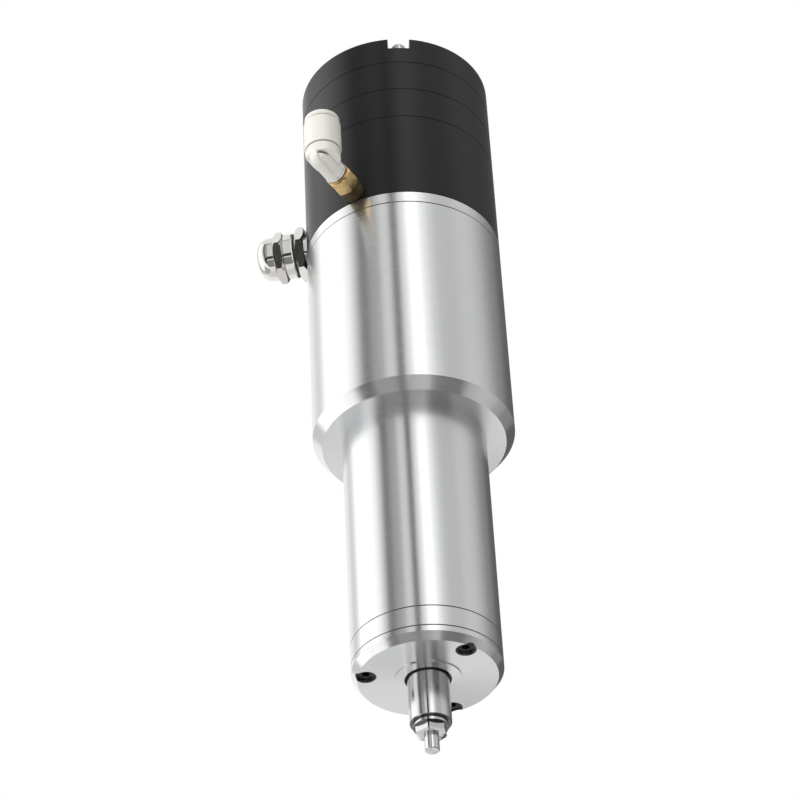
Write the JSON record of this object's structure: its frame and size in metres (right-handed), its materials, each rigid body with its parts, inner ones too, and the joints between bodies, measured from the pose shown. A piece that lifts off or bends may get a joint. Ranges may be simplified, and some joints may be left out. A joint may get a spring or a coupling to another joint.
{
  "type": "motor spindle",
  "caption": "Air-released motor spindle: stepped turned housing with a collet nose, black release cylinder, white air elbow and a cable gland.",
  "frame": {"origin": "on the shaft axis, in the plane of the shoulder between nose and barrel", "axes": "+Z along the shaft axis to the rear, -Z to the tool, -Y to the side of the rim notch"},
  "size_m": [0.1104, 0.1133, 0.3534],
  "materials": {
    "turned_aluminium": "fine-turned, bright, with rings round the axis",
    "faced_aluminium": "face-turned, bright",
    "black_anodised": "satin black anodised",
    "black_oxide": "black oxide, lightly oiled",
    "polished_steel": "ground and polished",
    "collet_steel": "ground",
    "bearing_steel": "ground",
    "cage_brass": "machined",
    "spring_steel": "oil tempered",
    "core_steel": "stacked sheet",
    "copper_winding": "enamelled copper wire in resin",
    "cast_aluminium": "machined",
    "black_rubber": "moulded",
    "zinc_screw": "zinc plated",
    "brass_fitting": "machined",
    "white_plastic": "moulded, satin",
    "stainless_spring": "pressed",
    "nickel_plated": "nickel plated, polished",
    "clamp_plastic": "moulded"
  },
  "bodies": {
    "root": {"housing": "turned_aluminium", "bearing_flange": "turned_aluminium", "front_cap": "faced_aluminium", "front_cap_screws": "black_oxide", "air_seal_ring": "faced_aluminium", "front_bearing_outer_rings": "bearing_steel", "outer_spacer": "bearing_steel", "stator_core": "core_steel", "stator_windings": "copper_winding", "end_plate": "turned_aluminium", "end_plate_screws": "black_oxide", "rear_bearing_outer_ring": "bearing_steel", "preload_spring": "spring_steel", "rear_housing": "black_anodised", "stage_ring_lower": "black_anodised", "stage_ring_upper": "black_anodised", "top_cover": "black_anodised", "tie_screws": "black_oxide", "stack_seals": "black_rubber", "rod_seals": "black_rubber", "earth_screw": "zinc_screw", "earth_washer": "zinc_screw", "elbow_stud": "brass_fitting", "gland_body": "nickel_plated", "gland_lock_nut": "nickel_plated", "gland_sealing_ring": "black_rubber", "gland_seal": "black_rubber", "gland_clamp": "clamp_plastic"},
    "rotor": {"shaft": "polished_steel", "slinger": "bearing_steel", "front_bearing_inner_rings": "bearing_steel", "inner_spacer": "bearing_steel", "front_lock_nut": "black_oxide", "rotor_core": "core_steel", "rotor_end_rings": "cast_aluminium", "rear_bearing_inner_ring": "bearing_steel", "rear_lock_nut": "black_oxide"},
    "front_cages": {"front_bearing_cages": "cage_brass", "front_bearing_balls": "bearing_steel"},
    "rear_cage": {"rear_bearing_cage": "cage_brass", "rear_bearing_balls": "bearing_steel"},
    "drawbar": {"drawbar": "collet_steel", "push_head": "collet_steel", "collet": "collet_steel", "disc_springs": "spring_steel"},
    "tool_pin": {"tool_pin": "polished_steel"},
    "piston": {"push_rod": "collet_steel", "piston_lower": "cast_aluminium", "piston_middle": "cast_aluminium", "piston_upper": "cast_aluminium", "piston_spacers": "collet_steel", "piston_seals": "black_rubber", "piston_nut": "black_oxide", "return_spring": "spring_steel"},
    "elbow": {"elbow_body": "white_plastic", "elbow_grip_ring": "stainless_spring", "elbow_tube_seal": "black_rubber"},
    "release_sleeve": {"release_sleeve": "white_plastic"},
    "gland_nut": {"gland_dome_nut": "nickel_plated"}
  },
  "joints": [
    {"name": "shaft_spin", "type": "hinge", "parent": "root", "child": "rotor", "pos_m": [0, 0, 0], "axis": [0, 0, 1], "continuous": true},
    {"name": "front_cage_spin", "type": "hinge", "parent": "root", "child": "front_cages", "pos_m": [0, 0, 0], "axis": [0, 0, 1], "continuous": true},
    {"name": "rear_cage_spin", "type": "hinge", "parent": "root", "child": "rear_cage", "pos_m": [0, 0, 0], "axis": [0, 0, 1], "continuous": true},
    {"name": "piston_slide", "type": "slide", "parent": "root", "child": "piston", "axis": [0, 0, -1], "range_m": [0, 0.0015], "stiffness_N_per_m": 3000, "springref_m": -0.01, "deforming": ["return_spring"]},
    {"name": "drawbar_slide", "type": "slide", "parent": "rotor", "child": "drawbar", "axis": [0, 0, -1], "range_m": [0, 0.0012], "deforming": ["disc_springs"]},
    {"name": "tool_pin_slide", "type": "slide", "parent": "drawbar", "child": "tool_pin", "axis": [0, 0, -1], "range_m": [0, 0.022]},
    {"name": "elbow_swivel", "type": "hinge", "parent": "root", "child": "elbow", "pos_m": [-0.02747, -0.0521, 0.1133], "axis": [-0.4664, -0.8846, 0], "continuous": true},
    {"name": "release_sleeve_press", "type": "slide", "parent": "elbow", "child": "release_sleeve", "axis": [0, 0, -1], "range_m": [0, 0.0008], "stiffness_N_per_m": 200, "springref_m": -0.001},
    {"name": "gland_nut_turn", "type": "hinge", "parent": "root", "child": "gland_nut", "pos_m": [-0.05916, 0.01001, 0.119], "axis": [-0.986, 0.1668, 0], "range_deg": [0, 330]}
  ],
  "couplings": [
    {"joint": "front_cage_spin", "follows": "shaft_spin", "ratio": 0.398},
    {"joint": "rear_cage_spin", "follows": "shaft_spin", "ratio": 0.41},
    {"joint": "drawbar_slide", "follows": "piston_slide", "ratio": 0.8}
  ]
}
